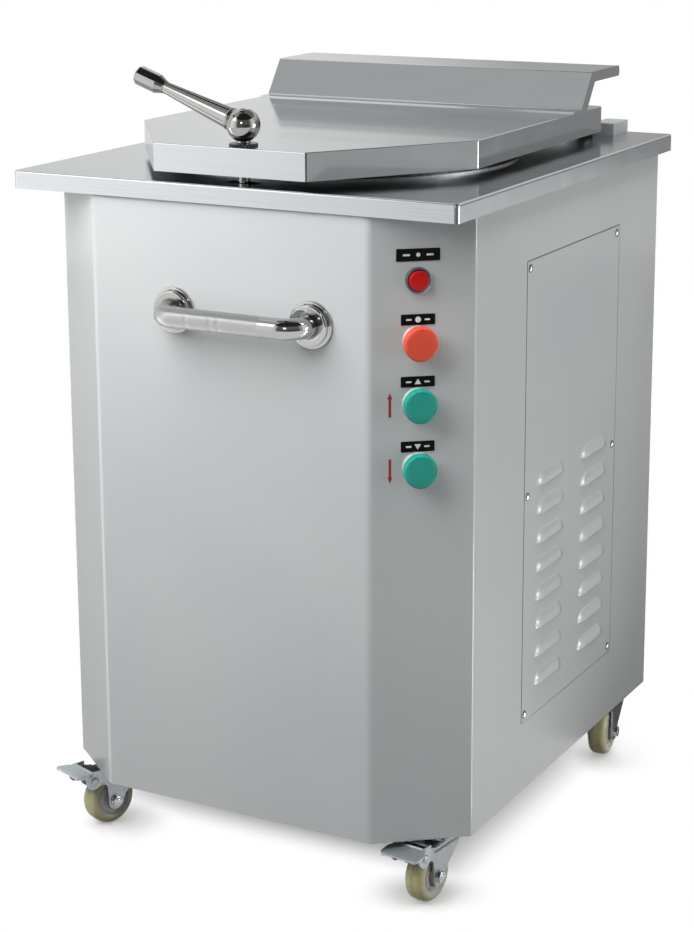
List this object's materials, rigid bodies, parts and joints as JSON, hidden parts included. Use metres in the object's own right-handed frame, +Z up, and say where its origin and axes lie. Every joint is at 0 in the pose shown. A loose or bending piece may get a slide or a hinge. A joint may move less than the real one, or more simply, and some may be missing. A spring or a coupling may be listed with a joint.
{
  "type": "dough divider",
  "caption": "Floor-standing hydraulic dough divider: painted cabinet on swivel casters, hinged clamp lid over a round chamber with pressing pads and knives, push-button panel.",
  "frame": {"origin": "on the floor, under the middle of the outer box", "axes": "+Z up, -Y towards the operator's side with the grab handle, +X to the operator's right"},
  "size_m": [0.6, 0.7106, 1.0013],
  "materials": {
    "cabinet_paint": "satin silver-grey paint",
    "stainless_sheet": "bright satin stainless sheet",
    "satin_steel": "satin brushed steel",
    "polished_chrome": "polished chrome",
    "cast_aluminium": "machined cast aluminium",
    "zinc_plate": "bright zinc-plated steel",
    "frame_steel": "dark grey primer",
    "motor_paint": "semi-gloss blue-grey paint",
    "hose_rubber": "black rubber",
    "pale_plastic": "pale grey plastic",
    "black_plastic": "matt black",
    "red_plastic": "glossy orange-red",
    "green_plastic": "glossy green",
    "red_lens": "clear red lens",
    "cream_nylon": "cream nylon"
  },
  "bodies": {
    "cabinet": {"main_frame": "frame_steel", "base_plate": "frame_steel", "front_panel": "cabinet_paint", "left_side_panel": "cabinet_paint", "right_side_panel": "cabinet_paint", "rear_panel": "cabinet_paint", "access_cover": "cabinet_paint", "access_cover_screws": "zinc_plate", "table_top": "stainless_sheet", "latch_keeper": "satin_steel", "dough_chamber": "stainless_sheet", "cylinder_barrel": "frame_steel", "drive_motor": "motor_paint", "hydraulic_pump": "motor_paint", "oil_tank": "frame_steel", "hydraulic_hoses": "hose_rubber", "control_box": "frame_steel", "handle_bar": "satin_steel", "handle_flanges": "polished_chrome", "hinge_blocks": "cast_aluminium", "hinge_pins": "satin_steel", "pilot_bezel": "black_plastic", "pilot_lens": "red_lens", "button_collars": "pale_plastic", "switch_blocks": "black_plastic", "legend_plates": "black_plastic", "cable_gland": "black_plastic", "caster_plates": "zinc_plate", "caster_bolts": "zinc_plate"},
    "lid": {"lid_shell": "stainless_sheet", "lid_press_plate": "cast_aluminium", "lid_upstand": "stainless_sheet", "hinge_lugs": "cast_aluminium", "latch_bush": "polished_chrome"},
    "lever": {"latch_spindle": "polished_chrome", "clamp_lever": "polished_chrome", "lever_knob": "polished_chrome"},
    "stop": {"stop_button": "red_plastic"},
    "start_up": {"start_up_button": "green_plastic"},
    "start_down": {"start_down_button": "green_plastic"},
    "ram": {"piston_rod": "satin_steel", "knife_carrier": "cast_aluminium", "knife_grid": "satin_steel"},
    "press": {"press_pads": "cast_aluminium", "press_carrier": "cast_aluminium"},
    "front_left_caster": {"front_left_fork": "zinc_plate", "front_left_axle": "zinc_plate"},
    "front_left_roller": {"front_left_wheel": "cream_nylon"},
    "front_left_brake": {"front_left_brake_pedal": "zinc_plate"},
    "front_right_caster": {"front_right_fork": "zinc_plate", "front_right_axle": "zinc_plate"},
    "front_right_roller": {"front_right_wheel": "cream_nylon"},
    "front_right_brake": {"front_right_brake_pedal": "zinc_plate"},
    "rear_left_caster": {"rear_left_fork": "zinc_plate", "rear_left_axle": "zinc_plate"},
    "rear_left_roller": {"rear_left_wheel": "cream_nylon"},
    "rear_right_caster": {"rear_right_fork": "zinc_plate", "rear_right_axle": "zinc_plate"},
    "rear_right_roller": {"rear_right_wheel": "cream_nylon"}
  },
  "joints": [
    {"name": "lid_hinge", "type": "hinge", "parent": "cabinet", "child": "lid", "pos_m": [0, 0.32935, 0.88], "axis": [1, 0, 0], "range_deg": [-75, 0]},
    {"name": "lever_turn", "type": "hinge", "parent": "lid", "child": "lever", "pos_m": [0.008, -0.27465, 0.9145], "axis": [0, 0, 1], "range_deg": [0, 90]},
    {"name": "stop_press", "type": "slide", "parent": "cabinet", "child": "stop", "axis": [-0.6267, 0.7793, 0], "range_m": [0, 0.004], "stiffness_N_per_m": 1200, "springref_m": -0.002},
    {"name": "start_up_press", "type": "slide", "parent": "cabinet", "child": "start_up", "axis": [-0.6267, 0.7793, 0], "range_m": [0, 0.004], "stiffness_N_per_m": 1200, "springref_m": -0.002},
    {"name": "start_down_press", "type": "slide", "parent": "cabinet", "child": "start_down", "axis": [-0.6267, 0.7793, 0], "range_m": [0, 0.004], "stiffness_N_per_m": 1200, "springref_m": -0.002},
    {"name": "ram_slide", "type": "slide", "parent": "cabinet", "child": "ram", "axis": [0, 0, 1], "range_m": [0, 0.085]},
    {"name": "press_slide", "type": "slide", "parent": "ram", "child": "press", "axis": [0, 0, 1], "range_m": [-0.06, 0]},
    {"name": "front_left_swivel", "type": "hinge", "parent": "cabinet", "child": "front_left_caster", "pos_m": [-0.232, -0.21465, 0.0865], "axis": [0, 0, 1], "continuous": true},
    {"name": "front_left_roll", "type": "hinge", "parent": "front_left_caster", "child": "front_left_roller", "pos_m": [-0.23956, -0.23531, 0.034], "axis": [0.9391, -0.3437, 0], "continuous": true},
    {"name": "front_left_brake_press", "type": "hinge", "parent": "front_left_caster", "child": "front_left_brake", "pos_m": [-0.25159, -0.26818, 0.071], "axis": [0.9391, -0.3437, 0], "range_deg": [0, 15]},
    {"name": "front_right_swivel", "type": "hinge", "parent": "cabinet", "child": "front_right_caster", "pos_m": [0.232, -0.21465, 0.0865], "axis": [0, 0, 1], "continuous": true},
    {"name": "front_right_roll", "type": "hinge", "parent": "front_right_caster", "child": "front_right_roller", "pos_m": [0.22951, -0.23651, 0.034], "axis": [0.9936, -0.1132, 0], "continuous": true},
    {"name": "front_right_brake_press", "type": "hinge", "parent": "front_right_caster", "child": "front_right_brake", "pos_m": [0.22555, -0.27128, 0.071], "axis": [0.9936, -0.1132, 0], "range_deg": [0, 15]},
    {"name": "rear_left_swivel", "type": "hinge", "parent": "cabinet", "child": "rear_left_caster", "pos_m": [-0.246, 0.30435, 0.0865], "axis": [0, 0, 1], "continuous": true},
    {"name": "rear_left_roll", "type": "hinge", "parent": "rear_left_caster", "child": "rear_left_roller", "pos_m": [-0.2483, 0.28247, 0.034], "axis": [0.9945, -0.1045, 0], "continuous": true},
    {"name": "rear_right_swivel", "type": "hinge", "parent": "cabinet", "child": "rear_right_caster", "pos_m": [0.246, 0.30435, 0.0865], "axis": [0, 0, 1], "continuous": true},
    {"name": "rear_right_roll", "type": "hinge", "parent": "rear_right_caster", "child": "rear_right_roller", "pos_m": [0.2483, 0.28247, 0.034], "axis": [0.9945, 0.1045, 0], "continuous": true}
  ]
}
